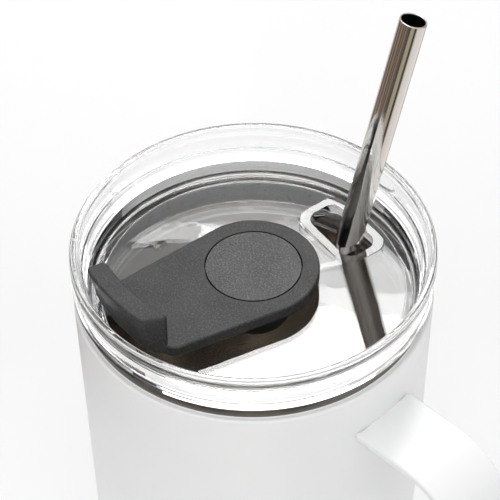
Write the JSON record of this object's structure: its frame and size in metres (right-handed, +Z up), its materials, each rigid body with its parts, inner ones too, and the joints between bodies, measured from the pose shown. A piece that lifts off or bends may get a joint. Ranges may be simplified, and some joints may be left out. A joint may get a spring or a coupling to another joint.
{
  "type": "insulated mug with lid and straw",
  "caption": "Double-wall steel mug with a flat strap handle, a clear recessed lid with a turning closure, and a steel straw.",
  "frame": {"origin": "centre of the base, on the surface the mug stands on", "axes": "+Z up along the mug's axis, +X towards the handle"},
  "size_m": [0.136, 0.1004, 0.202],
  "materials": {
    "white_paint": "satin powder coat",
    "brushed_steel": "fine brushed",
    "polished_steel": "polished",
    "seal_metal": "dull",
    "clear_plastic": "clear gloss",
    "clear_silicone": "translucent satin",
    "black_plastic": "fine spark-eroded texture",
    "black_silicone": "satin"
  },
  "bodies": {
    "mug": {"outer_shell": "white_paint", "inner_liner": "brushed_steel", "base_plate": "brushed_steel", "base_cover": "brushed_steel", "vacuum_seal": "seal_metal", "getter": "seal_metal", "handle_strap": "white_paint"},
    "lid": {"lid_body": "clear_plastic", "lid_gasket": "clear_silicone"},
    "closure": {"closure_arm": "black_plastic", "pivot_cap": "black_plastic", "pivot_screw": "polished_steel", "pivot_washer": "polished_steel", "hub_seal": "black_silicone", "hub_nut": "black_plastic", "closure_pad": "black_silicone"},
    "straw": {"straw": "polished_steel"}
  },
  "joints": [
    {"name": "lid_lift", "type": "slide", "parent": "mug", "child": "lid", "axis": [0, 0, 1], "range_m": [0, 0.06]},
    {"name": "closure_turn", "type": "hinge", "parent": "lid", "child": "closure", "pos_m": [0, 0, 0.1355], "axis": [0, 0, 1], "range_deg": [-140, 138]},
    {"name": "straw_pull", "type": "slide", "parent": "lid", "child": "straw", "axis": [0.0609, 0.2279, 0.9718], "range_m": [0, 0.125]}
  ]
}
